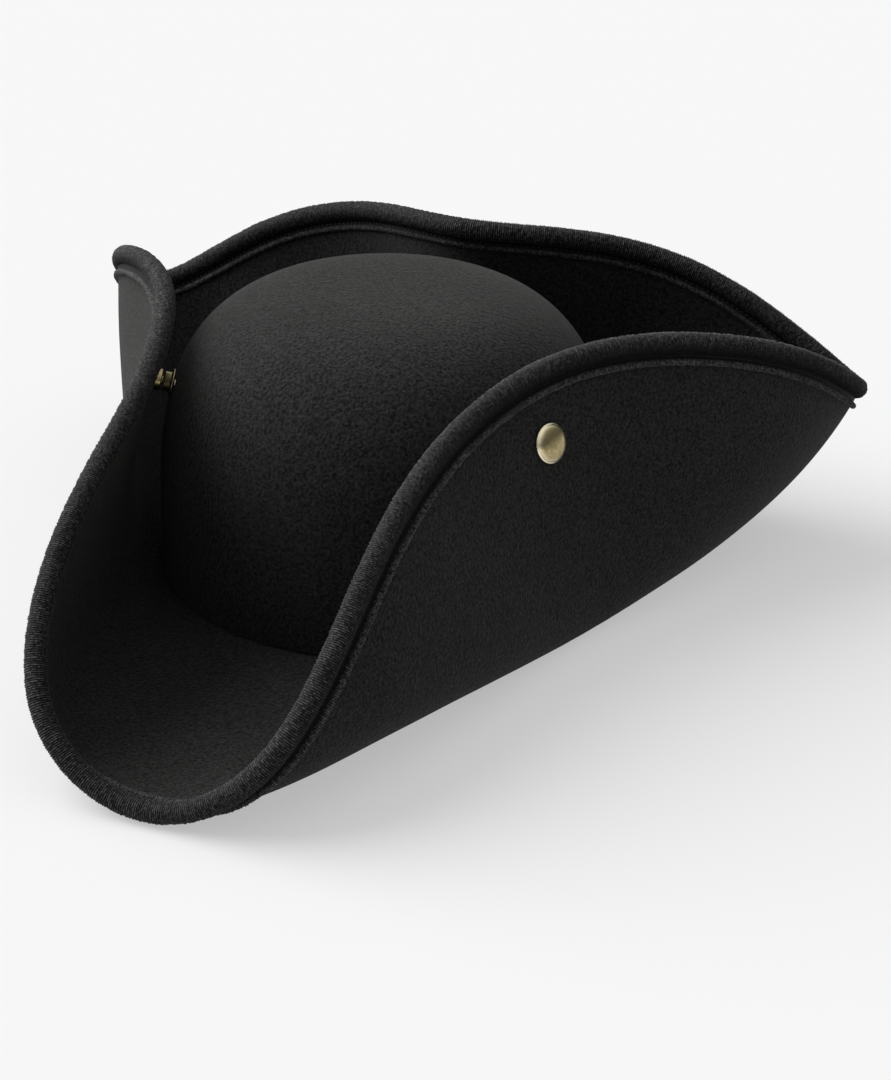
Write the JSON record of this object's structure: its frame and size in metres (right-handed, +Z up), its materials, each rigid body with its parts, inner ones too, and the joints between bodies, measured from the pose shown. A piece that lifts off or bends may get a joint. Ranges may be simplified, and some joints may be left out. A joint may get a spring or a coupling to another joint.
{
  "type": "pirate hat",
  "caption": "Three-cornered felt costume hat with a domed crown and a bound brim turned up in flaps that snap to the crown and fold outward.",
  "frame": {"origin": "middle of the bounding box at its lowest level, on the surface that the hat stands on", "axes": "+Z up through the crown; -Y towards the front corner of the brim, so the wearer's left is +X"},
  "size_m": [0.3534, 0.3576, 0.125],
  "materials": {
    "felt": "matte pressed felt with a short nap",
    "binding": "rib-knit tape",
    "cord": "cotton filler cord",
    "sweatband": "cotton twill tape",
    "brass": "satin",
    "steel": "nickel plated"
  },
  "bodies": {
    "hat": {"crown": "felt", "sweatband": "sweatband", "brim_base": "felt", "front_binding": "binding", "front_cord": "cord", "rear_left_binding": "binding", "rear_left_cord": "cord", "rear_right_binding": "binding", "rear_right_cord": "cord", "left_snap_stud": "brass", "left_snap_post": "steel", "right_snap_stud": "brass", "right_snap_post": "steel", "back_snap_stud": "brass", "back_snap_post": "steel"},
    "left_flap_body": {"left_flap": "felt", "left_flap_binding": "binding", "left_flap_cord": "cord", "left_snap_cap": "brass", "left_snap_socket": "brass"},
    "right_flap_body": {"right_flap": "felt", "right_flap_binding": "binding", "right_flap_cord": "cord", "right_snap_cap": "brass", "right_snap_socket": "brass"},
    "back_flap_body": {"back_flap": "felt", "back_flap_binding": "binding", "back_flap_cord": "cord", "back_snap_cap": "brass", "back_snap_socket": "brass"}
  },
  "joints": [
    {"name": "left_flap_fold", "type": "hinge", "parent": "hat", "child": "left_flap_body", "pos_m": [0.10635, 0.00659, 0.009], "axis": [0.349, 0.9371, 0], "range_deg": [0, 35]},
    {"name": "right_flap_fold", "type": "hinge", "parent": "hat", "child": "right_flap_body", "pos_m": [-0.10635, 0.00659, 0.009], "axis": [0.349, -0.9371, 0], "range_deg": [0, 35]},
    {"name": "back_flap_fold", "type": "hinge", "parent": "hat", "child": "back_flap_body", "pos_m": [0, 0.1537, 0.009], "axis": [-1, 0, 0], "range_deg": [0, 35]}
  ]
}
